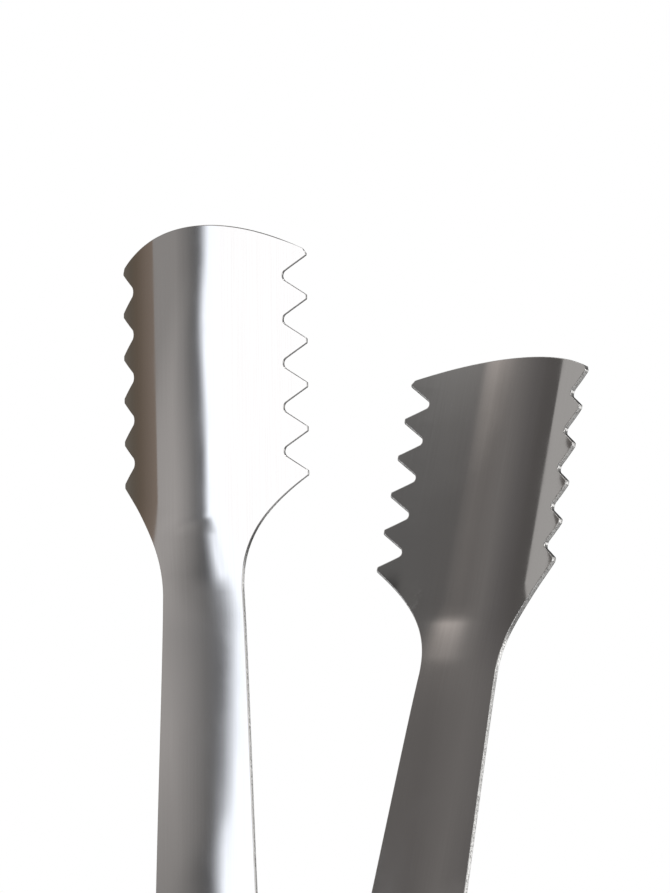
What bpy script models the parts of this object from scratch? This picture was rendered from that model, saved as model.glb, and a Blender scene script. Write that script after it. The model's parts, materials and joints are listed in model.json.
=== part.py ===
# Spring-loaded serving tongs: two pressed steel arms with toothed, dished jaws, hinged on a riveted
# pin at the heel and pushed apart by a torsion spring.
# Frame: Z runs up the tongs from the heel to the jaws, X is the opening direction and Y is across
# the arms. The tongs stand open on their heel, with the origin under the middle of it.
import math

import bpy
from mathutils import Vector

# Arm sheet and stance
SHEET = 0.0006  # thickness of the steel
OPEN_LEAN = math.radians(9.1)  # lean of each arm from the upright when the tongs are open
BACK_OFFSET = 0.0059  # pin axis to the middle of an arm's back plate

# Jaw
TOOTH_COUNT = 6
TOOTH_PITCH = 0.0052
TOOTH_DEPTH = 0.00285
TOOTH_FLAT = 0.0005  # flat on the point of each tooth
VALLEY_ROUND = 0.0004  # half width of the rounded valley between two teeth
JAW_REACH = 0.1446  # pin axis to the lowest tooth
JAW_RADIUS = 0.0285  # of the trough, to the middle of the sheet
JAW_HALF_GIRTH = 0.01456  # round the trough from its middle to the points of the teeth
JAW_END_RISE = 0.00415  # top tooth to the middle of the arched end
JAW_END_CORNER = 0.00035  # small corner between the top tooth and the arched end

# Neck and handle
FLARE_LENGTH = 0.0136  # from the lowest tooth down to the neck
FLARE_POWER = 2.25  # how late the flare opens
NECK_HALF_WIDTH = 0.00605
HANDLE_TAPER = 0.0428  # half width gained per length from the neck down to the pin
NECK_DISH_RADIUS = 0.052  # of the handle's shallow dish, at the neck
HANDLE_DISH_RADIUS = 0.068  # and further down
DISH_FADE = 0.04  # over which it goes from one to the other
FLATTEN_DROP = 0.0171  # from the lowest tooth down to where the trough has eased into that dish
FLATTEN_LENGTH = 0.015  # over which it does
STEP_DROP = 0.0143  # from the lowest tooth down to the foot of the step under the trough
STEP_LENGTH = 0.0085
STEP_DEPTH = 0.0006  # the trough is pressed this much further out than the neck
NECK_DRAW = 0.0003  # and the neck is drawn in by this

# Side flanges and ears at the heel
FOLD_RADIUS = 0.0016  # of the folded side flange, to the middle of the sheet
FOLD_LENGTH = 0.03  # over which the flat edge turns up into a flange
FLANGE_REACH = 0.045  # pin axis to where the flange is fully turned up
FLANGE_START = 0.0004  # height of the flange there
EAR_RADIUS = 0.0042
EAR_RELIEF = 0.0004  # slot between an ear and the bend of the heel lip
LIP_BEND = 0.0012  # bend radius of the heel lip, to the middle of the sheet
LIP_INSET = 0.0005  # the lip is narrower than the flat of the back by this on each side
LIP_GAP = 0.00015  # from each lip to the middle plane, where the open arms stop

# Hinge hardware
PIN_RADIUS = 0.0016
PIN_HEAD_RADIUS = 0.0034
PIN_HEAD_HEIGHT = 0.0014
PIN_FOOT_RADIUS = 0.0023  # of the peened end beyond the collar
PIN_FOOT_HEIGHT = 0.0006
COLLAR_RADIUS = 0.0033
COLLAR_THICKNESS = 0.0011
WASHER_RADIUS = 0.0036
WASHER_THICKNESS = 0.0004
SLEEVE_WALL = 0.0005
ROUND_CLEARANCE = 0.0002  # radial, between the pin and what turns on it
SIDE_CLEARANCE = 0.0003  # between pieces that lie side by side along the pin
EDGE_BREAK = 0.0002  # small chamfer on turned pieces

# Torsion spring
WIRE = 0.001
SPRING_TURNS = 5
SPRING_PITCH = 0.00155
SPRING_SLACK = 0.00035  # between the coil and the sleeve inside it
SPRING_LEG = 0.016  # length of each leg along its arm
SEAT_GAP = 0.0003  # between a leg and the arm that it presses on

# Steps of the mesh: columns across half an arm's flat, fold and flange, then rows, points and facets
FLAT_COLUMNS = 3
FOLD_COLUMNS = 3
FLANGE_COLUMNS = 2
HALF_COLUMNS = FLAT_COLUMNS + FOLD_COLUMNS + FLANGE_COLUMNS
FLANGE_ROWS = 4
FOLD_ROWS = 7
HANDLE_ROWS = 6
FLARE_ROWS = 8
LIP_STEPS = 3
POINTS_PER_TURN = 10
ROUND_STEPS = 32

# Places along an arm, measured from the pin axis
neck_at = JAW_REACH - FLARE_LENGTH
flatten_end = JAW_REACH - FLATTEN_DROP
step_foot = JAW_REACH - STEP_DROP
fold_start = FLANGE_REACH + FOLD_LENGTH
top_tooth = JAW_REACH + (TOOTH_COUNT - 1) * TOOTH_PITCH

# Places across the hinge, measured from the middle plane
outer_width = NECK_HALF_WIDTH + HANDLE_TAPER * neck_at
washer_outside = outer_width - SHEET - SIDE_CLEARANCE
inner_width = washer_outside - WASHER_THICKNESS - SIDE_CLEARANCE
sleeve_half = inner_width - SHEET - SIDE_CLEARANCE
head_seat = outer_width + SIDE_CLEARANCE
collar_end = head_seat + COLLAR_THICKNESS

bore_radius = PIN_RADIUS + ROUND_CLEARANCE
sleeve_radius = bore_radius + SLEEVE_WALL
coil_radius = sleeve_radius + SPRING_SLACK + WIRE / 2

# The heel lips lie flat when the tongs are open, so the bend turns an arm by the rest of a right angle
lip_turn = math.pi / 2 - OPEN_LEAN
bend_start = -EAR_RADIUS - EAR_RELIEF


def lean(outward, along):
    """Where a point of the right-hand arm lies beside and above the pin when the tongs are open."""
    beside = outward * math.cos(OPEN_LEAN) + along * math.sin(OPEN_LEAN)
    above = along * math.cos(OPEN_LEAN) - outward * math.sin(OPEN_LEAN)
    return beside, above


def lip_point(turn, run):
    """Outward and along position of the heel lip's middle, past a bend of this turn and a straight run."""
    outward = BACK_OFFSET - LIP_BEND * (1 - math.cos(turn)) - run * math.sin(turn)
    along = bend_start - LIP_BEND * math.sin(turn) - run * math.cos(turn)
    return outward, along


lip_beside, lip_above = lean(*lip_point(lip_turn, 0))
lip_run = lip_beside - LIP_GAP
pin_height = SHEET / 2 - lip_above


def blend(start, end, share):
    return start + (end - start) * share


def ease(share):
    share = min(max(share, 0), 1)
    return share * share * (3 - 2 * share)


def dish_curvature(along):
    """The trough of the jaw eases into the handle's dish, which fades out where the flanges start."""
    jaw_share = ease((along - flatten_end) / FLATTEN_LENGTH)
    handle_share = ease((along - FLANGE_REACH) / FOLD_LENGTH)
    radius = blend(NECK_DISH_RADIUS, HANDLE_DISH_RADIUS, ease((neck_at - along) / DISH_FADE))
    return blend(handle_share / radius, 1 / JAW_RADIUS, jaw_share)


def back_line(along):
    """Pin axis to the middle of the back: drawn in up the handle, then stepped out under the trough."""
    drawn = NECK_DRAW * ease((along - fold_start) / (step_foot - fold_start))
    return BACK_OFFSET - drawn + STEP_DEPTH * ease((along - step_foot) / STEP_LENGTH)


def handle_width(along, nested):
    """Half width of the handle. A nested arm steps in where its flanges pass inside the other arm's."""
    straight = min(NECK_HALF_WIDTH + HANDLE_TAPER * (neck_at - along), outer_width)
    return straight - nested * ease((fold_start - along) / FOLD_LENGTH)


def flange_height(along):
    """Height of the flange above its fold: round about the pin, then a straight line up the arm."""
    fold_top = BACK_OFFSET - FOLD_RADIUS
    far_end = Vector((FLANGE_REACH, fold_top - FLANGE_START))
    tangent_angle = math.atan2(far_end.y, far_end.x) - math.acos(EAR_RADIUS / far_end.length)
    tangent = EAR_RADIUS * Vector((math.cos(tangent_angle), math.sin(tangent_angle)))
    if along < tangent.x:
        edge = -math.sqrt(max(EAR_RADIUS**2 - along**2, 0))
    else:
        edge = blend(tangent.y, far_end.y, min((along - tangent.x) / (far_end.x - tangent.x), 1))
    return fold_top - edge


def spread(flat, fold, girth, last_inner):
    """Distances from the middle of the sheet at which the columns of half a row lie."""
    columns = [flat * i / FLAT_COLUMNS for i in range(FLAT_COLUMNS + 1)]
    columns += [blend(flat, fold, i / FOLD_COLUMNS) for i in range(1, FOLD_COLUMNS + 1)]
    inner = FLANGE_COLUMNS - 1
    columns += [blend(fold, last_inner, i / inner) for i in range(1, inner + 1)]
    return columns + [girth]


def even_row(along, girth, last_inner=None):
    """A row with evenly spread columns, where the sheet has no fold."""
    last_inner = last_inner or girth * (HALF_COLUMNS - 1) / HALF_COLUMNS
    step = last_inner / (HALF_COLUMNS - 1)
    columns = spread(step * FLAT_COLUMNS, step * (FLAT_COLUMNS + FOLD_COLUMNS), girth, last_inner)
    return [(along, distance, section(along, distance, 0, 0, 0)) for distance in columns]


def folded_row(along, nested):
    """A row of the handle, whose edge turns up into a flange towards the heel."""
    width = handle_width(along, nested)
    turned = ease((fold_start - along) / FOLD_LENGTH)
    angle = turned * math.pi / 2
    share = width / HALF_COLUMNS
    fold_length = blend(share * FOLD_COLUMNS, FOLD_RADIUS * math.pi / 2, turned)
    flange = blend(share * FLANGE_COLUMNS, flange_height(along), 1 - (1 - turned) ** 2)
    fold_reach = fold_length * math.sin(angle) / angle if angle else fold_length
    flat = width - fold_reach - flange * math.cos(angle) - SHEET / 2 * math.sin(angle)
    fold = flat + fold_length
    inner = fold + flange * (FLANGE_COLUMNS - 1) / FLANGE_COLUMNS
    columns = spread(flat, fold, fold + flange, inner)
    return [(along, distance, section(along, distance, flat, fold, angle)) for distance in columns]


def section(along, distance, flat, fold, angle):
    """Across and outward position at a distance round the section: dish, then fold, then flange."""
    dish = dish_curvature(along)
    bend = dish + angle / (fold - flat) if fold > flat else dish
    across, outward, heading = 0, back_line(along), 0
    for start, end, curvature in ((0, flat, dish), (flat, fold, bend), (fold, math.inf, dish)):
        length = min(distance, end) - start
        if length <= 0:
            continue
        turned = heading + curvature * length
        if abs(curvature) < 1e-6:
            across += length * math.cos(heading)
            outward -= length * math.sin(heading)
        else:
            across += (math.sin(turned) - math.sin(heading)) / curvature
            outward -= (math.cos(heading) - math.cos(turned)) / curvature
        heading = turned
    return across, outward


def tooth_rows():
    """Rows up the jaw: two on each tooth's flat point and three round each valley."""
    run = (TOOTH_PITCH - TOOTH_FLAT) / 2
    full_depth = TOOTH_DEPTH / (1 - VALLEY_ROUND / (2 * run))
    shoulder = JAW_HALF_GIRTH - full_depth * (1 - VALLEY_ROUND / run)
    valley = JAW_HALF_GIRTH - TOOTH_DEPTH
    last_inner = valley - TOOTH_PITCH / 4
    rows = []
    for tooth in range(TOOTH_COUNT):
        point = JAW_REACH + tooth * TOOTH_PITCH
        rows.append(even_row(point - TOOTH_FLAT / 2, JAW_HALF_GIRTH, last_inner))
        rows.append(even_row(point + TOOTH_FLAT / 2, JAW_HALF_GIRTH, last_inner))
        if tooth == TOOTH_COUNT - 1:
            break
        middle = point + TOOTH_PITCH / 2
        for offset, girth in ((-VALLEY_ROUND, shoulder), (0, valley), (VALLEY_ROUND, shoulder)):
            rows.append(even_row(middle + offset, girth, last_inner))
    return rows


def jaw_end_rows(top_row):
    """Rows that arch from the top tooth up to the rounded end of the jaw."""
    start = top_tooth + TOOTH_FLAT / 2
    rows = []
    for share in (0.35, 0.7, 1):
        row = []
        for _, distance, _ in top_row:
            if distance == JAW_HALF_GIRTH:
                distance -= JAW_END_CORNER * share
            fall = (distance / JAW_HALF_GIRTH) ** 2
            end = blend(JAW_END_RISE, JAW_END_CORNER, fall) - TOOTH_FLAT / 2
            along = start + end * share
            row.append((along, distance, section(along, distance, 0, 0, 0)))
        rows.append(row)
    return rows


def flare_rows():
    """Rows from the neck up to the lowest tooth."""
    top = JAW_REACH - TOOTH_FLAT / 2
    rows = []
    for step in range(FLARE_ROWS):
        share = step / FLARE_ROWS
        along = blend(neck_at, top, share)
        girth = blend(NECK_HALF_WIDTH, JAW_HALF_GIRTH, share**FLARE_POWER)
        rows.append(even_row(along, girth))
    return rows


def heel_rows(nested):
    """Folded rows round the ear and up the handle, closer together where the outline is round."""
    places = [-EAR_RADIUS * math.cos(math.radians(turn)) for turn in (0, 22, 42, 62, 80, 97)]
    stretches = ((FLANGE_REACH, FLANGE_ROWS), (fold_start, FOLD_ROWS), (neck_at, HANDLE_ROWS))
    for end, count in stretches:
        start = places[-1]
        places += [blend(start, end, (i + 1) / count) for i in range(count)]
    return [folded_row(along, nested) for along in places[:-1]]


def arm_mesh(name, side, nested):
    """The middle surface of one arm, in a frame on the pin axis with Z along the arm."""
    teeth = tooth_rows()
    rows = heel_rows(nested) + flare_rows() + teeth + jaw_end_rows(teeth[-1])
    points = []
    faces = []

    def add_row(places):
        start = len(points)
        for along, across, outward in places[:0:-1]:
            points.append((side * outward, -across, along))
        for along, across, outward in places:
            points.append((side * outward, across, along))
        return start

    def join(lower, upper, count):
        for i in range(count):
            faces.append((lower + i, lower + i + 1, upper + i + 1, upper + i))

    starts = [add_row([(along, *place) for along, _, place in row]) for row in rows]
    for lower, upper in zip(starts, starts[1:]):
        join(lower, upper, 2 * HALF_COLUMNS)

    flat = rows[0][FLAT_COLUMNS][2][0] - LIP_INSET
    across = [flat * i / FLAT_COLUMNS for i in range(FLAT_COLUMNS + 1)]
    upper = starts[0] + HALF_COLUMNS - FLAT_COLUMNS
    for turn, run in [(lip_turn * i / LIP_STEPS, 0) for i in range(LIP_STEPS + 1)] + [(lip_turn, lip_run)]:
        outward, along = lip_point(turn, run)
        lower = add_row([(along, place, outward) for place in across])
        join(lower, upper, 2 * FLAT_COLUMNS)
        upper = lower

    mesh = bpy.data.meshes.new(name)
    mesh.from_pydata(points, [], faces)
    mesh.shade_smooth()
    return mesh


def turned_mesh(name, profile, closed):
    """A piece turned about the pin axis from (radius, place) points. A closed profile makes a ring."""
    points = []
    faces = []
    rings = []
    for radius, place in profile:
        if radius == 0:
            rings.append([len(points)] * ROUND_STEPS)
            points.append((0, place, 0))
            continue
        rings.append([len(points) + i for i in range(ROUND_STEPS)])
        for i in range(ROUND_STEPS):
            angle = 2 * math.pi * i / ROUND_STEPS
            points.append((radius * math.cos(angle), place, radius * math.sin(angle)))
    pairs = list(zip(rings, rings[1:]))
    if closed:
        pairs.append((rings[-1], rings[0]))
    for first, second in pairs:
        for i in range(ROUND_STEPS):
            j = (i + 1) % ROUND_STEPS
            corners = (first[i], first[j], second[j], second[i])
            faces.append(tuple(dict.fromkeys(corners)))
    mesh = bpy.data.meshes.new(name)
    mesh.from_pydata(points, [], faces)
    mesh.shade_smooth()
    mesh.set_sharp_from_angle(angle=math.radians(35))
    return mesh


def ring_mesh(name, bore, radius, near, far, chamfer):
    """A washer, collar or tube between two places along the pin."""
    profile = [
        (bore, near),
        (bore, far),
        (radius - chamfer, far),
        (radius, far - chamfer),
        (radius, near + chamfer),
        (radius - chamfer, near),
    ]
    return turned_mesh(name, profile, True)


def pin_mesh(name):
    """The rivet pin: a domed head at -Y, the shank, and a peened foot beyond the collar at +Y."""
    foot = collar_end + SIDE_CLEARANCE
    dome = []
    for step in range(6):
        angle = math.pi / 2 * step / 5
        dome.append((PIN_HEAD_RADIUS * math.sin(angle), -head_seat - PIN_HEAD_HEIGHT * math.cos(angle)))
    profile = dome + [
        (PIN_RADIUS, -head_seat),
        (PIN_RADIUS, foot),
        (PIN_FOOT_RADIUS, foot),
        (PIN_FOOT_RADIUS, foot + PIN_FOOT_HEIGHT - EDGE_BREAK),
        (PIN_FOOT_RADIUS - EDGE_BREAK, foot + PIN_FOOT_HEIGHT),
        (0, foot + PIN_FOOT_HEIGHT),
    ]
    return turned_mesh(name, profile[::-1], False)


def spring_points():
    """The spring's middle line: down the left leg, round the coil and up the right leg."""
    leg_end = Vector((BACK_OFFSET - SHEET / 2 - SEAT_GAP - WIRE / 2, SPRING_LEG))
    touch = math.atan2(leg_end.y, leg_end.x) - math.acos(coil_radius / leg_end.length)
    beside, above = lean(*leg_end)
    leave = touch - OPEN_LEAN
    enter = math.pi - leave
    sweep = leave - enter + 2 * math.pi * (SPRING_TURNS + 1)
    half_length = SPRING_PITCH * sweep / (2 * math.pi) / 2
    steps = round(POINTS_PER_TURN * sweep / (2 * math.pi))
    points = [Vector((-beside, -half_length, above))]
    for step in range(steps + 1):
        angle = enter + sweep * step / steps
        place = blend(-half_length, half_length, step / steps)
        points.append(Vector((coil_radius * math.cos(angle), place, coil_radius * math.sin(angle))))
    return points + [Vector((beside, half_length, above))]


def least_gap(points):
    """The least gap between turns of the wire, at the points of its middle line."""
    half_turn = POINTS_PER_TURN // 2
    gaps = []
    for i, first in enumerate(points):
        gaps += [(first - second).length for second in points[i + half_turn :]]
    return min(gaps) - WIRE


def steel(name, colour, roughness):
    material = bpy.data.materials.new(name)
    material.use_nodes = True
    shader = material.node_tree.nodes["Principled BSDF"]
    shader.inputs["Base Color"].default_value = (*colour, 1)
    shader.inputs["Metallic"].default_value = 1
    shader.inputs["Roughness"].default_value = roughness
    return material


def place(name, data, parent, material):
    obj = bpy.data.objects.new(name, data)
    bpy.context.scene.collection.objects.link(obj)
    obj.parent = parent
    if material:
        data.materials.append(material)
    return obj


def add_arm(name, side, nested, hinge, cutter, material):
    arm = place(name, arm_mesh(name, side, nested), hinge, material)
    arm.rotation_euler = (0, side * OPEN_LEAN, 0)
    shell = arm.modifiers.new("sheet", "SOLIDIFY")
    shell.thickness = SHEET
    shell.offset = 0
    shell.use_even_offset = True
    bore = arm.modifiers.new("pin hole", "BOOLEAN")
    bore.operation = "DIFFERENCE"
    bore.solver = "EXACT"
    bore.object = cutter
    return arm


def add_spring(name, hinge, material):
    points = spring_points()
    print(f"{name}: least gap between turns {least_gap(points) * 1000:.2f} mm")
    curve = bpy.data.curves.new(name, "CURVE")
    curve.dimensions = "3D"
    curve.bevel_depth = WIRE / 2
    curve.bevel_resolution = 1
    curve.use_fill_caps = True
    spline = curve.splines.new("POLY")
    spline.points.add(len(points) - 1)
    for target, point in zip(spline.points, points):
        target.co = (*point, 1)
        target.radius = 1
    spline.use_smooth = True
    return place(name, curve, hinge, material)


def clear_scene():
    for obj in list(bpy.data.objects):
        bpy.data.objects.remove(obj)


def build():
    clear_scene()
    hinge = place("hinge_axis", None, None, None)
    hinge.location = (0, 0, pin_height)

    profile = [(0, head_seat), (bore_radius, head_seat), (bore_radius, -head_seat), (0, -head_seat)]
    cutter = place("pin_hole_cutter", turned_mesh("pin_hole_cutter", profile, False), hinge, None)
    cutter.hide_render = True
    cutter.display_type = "WIRE"

    pressed = (0.58, 0.56, 0.54)
    step_in = outer_width - inner_width
    add_arm("left_arm", -1, 0, hinge, cutter, steel("left_arm_steel", pressed, 0.22))
    add_arm("right_arm", 1, step_in, hinge, cutter, steel("right_arm_steel", pressed, 0.22))

    place("hinge_pin", pin_mesh("hinge_pin"), hinge, steel("pin_steel", (0.62, 0.61, 0.6), 0.25))
    collar = ring_mesh("pin_collar", bore_radius, COLLAR_RADIUS, head_seat, collar_end, EDGE_BREAK)
    place("pin_collar", collar, hinge, steel("collar_steel", (0.6, 0.59, 0.58), 0.3))

    washer_steel = (0.5, 0.49, 0.48)
    for name, side in (("front_washer", -1), ("rear_washer", 1)):
        faces = sorted((side * washer_outside, side * (washer_outside - WASHER_THICKNESS)))
        washer = ring_mesh(name, bore_radius, WASHER_RADIUS, *faces, WASHER_THICKNESS / 4)
        place(name, washer, hinge, steel(f"{name}_steel", washer_steel, 0.35))

    sleeve = ring_mesh("spring_sleeve", bore_radius, sleeve_radius, -sleeve_half, sleeve_half, EDGE_BREAK)
    place("spring_sleeve", sleeve, hinge, steel("sleeve_steel", washer_steel, 0.4))
    add_spring("torsion_spring", hinge, steel("spring_steel", (0.4, 0.39, 0.38), 0.35))


build()
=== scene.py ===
# Spring-loaded serving tongs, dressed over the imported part.
# Metres. Z runs up from the heel to the jaws, X is the opening, and the camera stands on the -Y side.
import json
import math

import bpy
import numpy as np
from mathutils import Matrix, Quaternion, Vector

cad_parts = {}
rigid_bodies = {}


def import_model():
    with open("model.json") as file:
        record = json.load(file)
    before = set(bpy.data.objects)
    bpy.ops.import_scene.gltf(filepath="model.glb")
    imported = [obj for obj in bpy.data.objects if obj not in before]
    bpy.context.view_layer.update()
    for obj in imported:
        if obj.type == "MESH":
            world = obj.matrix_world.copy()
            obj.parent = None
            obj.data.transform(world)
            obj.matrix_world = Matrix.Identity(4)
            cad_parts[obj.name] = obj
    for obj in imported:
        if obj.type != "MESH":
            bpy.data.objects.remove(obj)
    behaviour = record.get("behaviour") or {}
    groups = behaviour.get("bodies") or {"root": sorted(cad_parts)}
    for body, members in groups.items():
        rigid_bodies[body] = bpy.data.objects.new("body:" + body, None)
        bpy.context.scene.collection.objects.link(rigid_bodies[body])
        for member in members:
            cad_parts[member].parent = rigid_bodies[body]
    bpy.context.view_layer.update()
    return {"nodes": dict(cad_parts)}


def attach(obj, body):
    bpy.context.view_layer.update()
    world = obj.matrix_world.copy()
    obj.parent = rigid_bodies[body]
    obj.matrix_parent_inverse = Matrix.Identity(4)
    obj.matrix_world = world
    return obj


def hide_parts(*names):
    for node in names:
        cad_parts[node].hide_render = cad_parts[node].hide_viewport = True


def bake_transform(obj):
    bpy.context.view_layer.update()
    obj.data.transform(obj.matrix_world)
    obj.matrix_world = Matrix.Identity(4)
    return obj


for leftover in list(bpy.data.objects):
    bpy.data.objects.remove(leftover)
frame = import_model()
scene = bpy.context.scene
scene.view_settings.view_transform = "Standard"
print("frame loaded:", ", ".join(sorted(frame["nodes"])))


def mix(start, end, share):
    return start + (end - start) * share


def ease(share):
    share = min(max(share, 0), 1)
    return share * share * (3 - 2 * share)


def ramp(share, foot, head):
    # an even slope with its two ends rounded off over these shares of it
    share = min(max(share, 0), 1)
    full = 1 - (foot + head) / 2
    if share < foot:
        rise = share * share / (2 * foot)
    elif share < 1 - head:
        rise = share - foot / 2
    else:
        rise = full - (1 - share) ** 2 / (2 * head)
    return rise / full


def steps(start, end, count):
    # even steps from the start, without the end
    return [mix(start, end, i / count) for i in range(count)]


def addObject(name, data):
    obj = bpy.data.objects.new(name, data)
    scene.collection.objects.link(obj)
    return obj


cameraView = {
    "place": (-0.4334, -0.3396, 0.0391),
    "aim": (-0.0039, -0.0005, 0.15804),
    "roll": 4.9,
    "lens": 183.2,
}


def addCamera(view):
    data = bpy.data.cameras.new("camera")
    data.lens = view["lens"]
    data.sensor_width = 36
    data.clip_start = 0.01
    data.clip_end = 50
    camera = addObject("camera", data)
    sight = Vector(view["aim"]) - Vector(view["place"])
    camera.location = view["place"]
    camera.rotation_mode = "QUATERNION"
    roll = Quaternion((0, 0, 1), math.radians(view["roll"]))
    camera.rotation_quaternion = sight.to_track_quat("-Z", "Y") @ roll
    scene.camera = camera


addCamera(cameraView)
print("camera set")


def addNode(tree, kind, place, settings=None, inputs=None):
    node = tree.nodes.new(kind)
    node.location = place
    for key, value in (settings or {}).items():
        setattr(node, key, value)
    for key, value in (inputs or {}).items():
        node.inputs[key].default_value = value
    return node


def newGroup(name, kind, inputs, outputs):
    group = bpy.data.node_groups.new(name, kind)
    for label, socket, value in inputs:
        made = group.interface.new_socket(label, in_out="INPUT", socket_type=socket)
        if value is not None:
            made.default_value = value
    for label, socket in outputs:
        group.interface.new_socket(label, in_out="OUTPUT", socket_type=socket)
    start = addNode(group, "NodeGroupInput", (-900, 0))
    end = addNode(group, "NodeGroupOutput", (900, 0))
    return group, start.outputs, end.inputs


def newMaterial(name, metallic):
    material = bpy.data.materials.new(name)
    material.use_nodes = True
    tree = material.node_tree
    shader = tree.nodes["Principled BSDF"]
    shader.location = (500, 0)
    shader.inputs["Metallic"].default_value = metallic
    tree.nodes["Material Output"].location = (800, 0)
    return material, tree, shader


# The three things that a mask does to a steel: its tone, its roughness and its bump.
def linkTone(tree, shader, mask, finish):
    ends = {6: finish["dull"], 7: finish["bright"]}
    tone = addNode(tree, "ShaderNodeMix", (0, 250), {"data_type": "RGBA"}, ends)
    tree.links.new(mask, tone.inputs[0])
    tree.links.new(tone.outputs[2], shader.inputs["Base Color"])


def linkHaze(tree, shader, mask, finish):
    haze = addNode(tree, "ShaderNodeMapRange", (0, 0))
    labels = ("From Min", "From Max", "To Min", "To Max")
    for label, value in zip(labels, finish["hazeSpan"] + finish["roughness"]):
        haze.inputs[label].default_value = value
    tree.links.new(mask, haze.inputs["Value"])
    tree.links.new(haze.outputs[0], shader.inputs["Roughness"])


def linkBump(tree, shader, mask, depth, place=(220, -250)):
    bump = addNode(tree, "ShaderNodeBump", place, inputs={"Strength": 1, "Distance": depth})
    tree.links.new(mask, bump.inputs["Height"])
    for under in list(shader.inputs["Normal"].links):
        tree.links.new(under.from_socket, bump.inputs["Normal"])
    tree.links.new(bump.outputs[0], shader.inputs["Normal"])


armFinish = {
    "bright": (0.74, 0.73, 0.72, 1),
    "dull": (0.68, 0.665, 0.65, 1),
    "roughness": (0.06, 0.11),
    "hazeSpan": (0.35, 0.7),  # of the handling marks
    "lineDepth": 0.0000004,
    "waveDepth": 0.0000025,
    "uvScale": 10,  # of the sheet's UV map, and so of the sizes below
    "sizes": {
        "Line Width": 0.0012,
        "Line Length": 0.3,
        "Wave Width": 0.03,
        "Wave Length": 1.2,
        "Mark Size": 0.09,
    },
}


# Lines drawn along the sheet, broad waves left by the press, and handling marks.
def drawnLines(sizes):
    group, given, wanted = newGroup(
        "drawn lines",
        "ShaderNodeTree",
        [("Sheet", "NodeSocketVector", None)] + [(label, "NodeSocketFloat", 1) for label in sizes],
        [(label, "NodeSocketFloat") for label in ("Lines", "Waves", "Marks")],
    )
    split = addNode(group, "ShaderNodeSeparateXYZ", (-650, 200))
    group.links.new(given["Sheet"], split.inputs[0])

    def stretchedNoise(across, along, height, detail, roughness):
        join = addNode(group, "ShaderNodeCombineXYZ", (-150, height))
        for axis, size in ((0, across), (1, along)):
            place = (-400, height - 120 * axis)
            divide = addNode(group, "ShaderNodeMath", place, {"operation": "DIVIDE"})
            group.links.new(split.outputs[axis], divide.inputs[0])
            group.links.new(given[size], divide.inputs[1])
            group.links.new(divide.outputs[0], join.inputs[axis])
        fine = {"Scale": 1, "Detail": detail, "Roughness": roughness}
        noise = addNode(group, "ShaderNodeTexNoise", (100, height), {"noise_dimensions": "2D"}, fine)
        group.links.new(join.outputs[0], noise.inputs["Vector"])
        return noise.outputs[0]

    group.links.new(stretchedNoise("Line Width", "Line Length", 400, 2, 0.6), wanted["Lines"])
    group.links.new(stretchedNoise("Wave Width", "Wave Length", 0, 1, 0.4), wanted["Waves"])
    group.links.new(stretchedNoise("Mark Size", "Mark Size", -400, 4, 0.55), wanted["Marks"])
    return group


drawnGroup = drawnLines(armFinish["sizes"])


def armSteel(finish):
    material, tree, shader = newMaterial("polished arm steel", 1)
    sheet = addNode(tree, "ShaderNodeUVMap", (-900, 0), {"uv_map": "sheet"})
    drawn = addNode(tree, "ShaderNodeGroup", (-650, 0), {"node_tree": drawnGroup}, finish["sizes"])
    tree.links.new(sheet.outputs[0], drawn.inputs["Sheet"])
    linkTone(tree, shader, drawn.outputs["Lines"], finish)
    linkHaze(tree, shader, drawn.outputs["Marks"], finish)
    linkBump(tree, shader, drawn.outputs["Waves"], finish["waveDepth"], (0, -250))
    linkBump(tree, shader, drawn.outputs["Lines"], finish["lineDepth"])
    return material


edgeFinish = {
    "bright": (0.92, 0.91, 0.89, 1),
    "dull": (0.34, 0.33, 0.32, 1),  # where the shears tore it
    "tornSpan": (0.36, 0.56),
    "grain": 0.00022,
    "depth": 0.000012,
    "roughness": (0.38, 0.2),
    "hazeSpan": (0, 1),
}


def cutEdge(finish):
    material, tree, shader = newMaterial("sheared edge", 1)
    spot = addNode(tree, "ShaderNodeTexCoord", (-900, 0))
    grain = {"Scale": 1 / finish["grain"], "Detail": 3, "Roughness": 0.65}
    noise = addNode(tree, "ShaderNodeTexNoise", (-600, 0), inputs=grain)
    tree.links.new(spot.outputs["Object"], noise.inputs["Vector"])
    low, high = finish["tornSpan"]
    torn = addNode(tree, "ShaderNodeMapRange", (-250, 250), inputs={"From Min": low, "From Max": high})
    tree.links.new(noise.outputs[0], torn.inputs["Value"])
    linkTone(tree, shader, torn.outputs[0], finish)
    linkHaze(tree, shader, torn.outputs[0], finish)
    linkBump(tree, shader, noise.outputs[0], finish["depth"])
    return material


armMaterials = [armSteel(armFinish), cutEdge(edgeFinish)]
print("finishes made")

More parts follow.
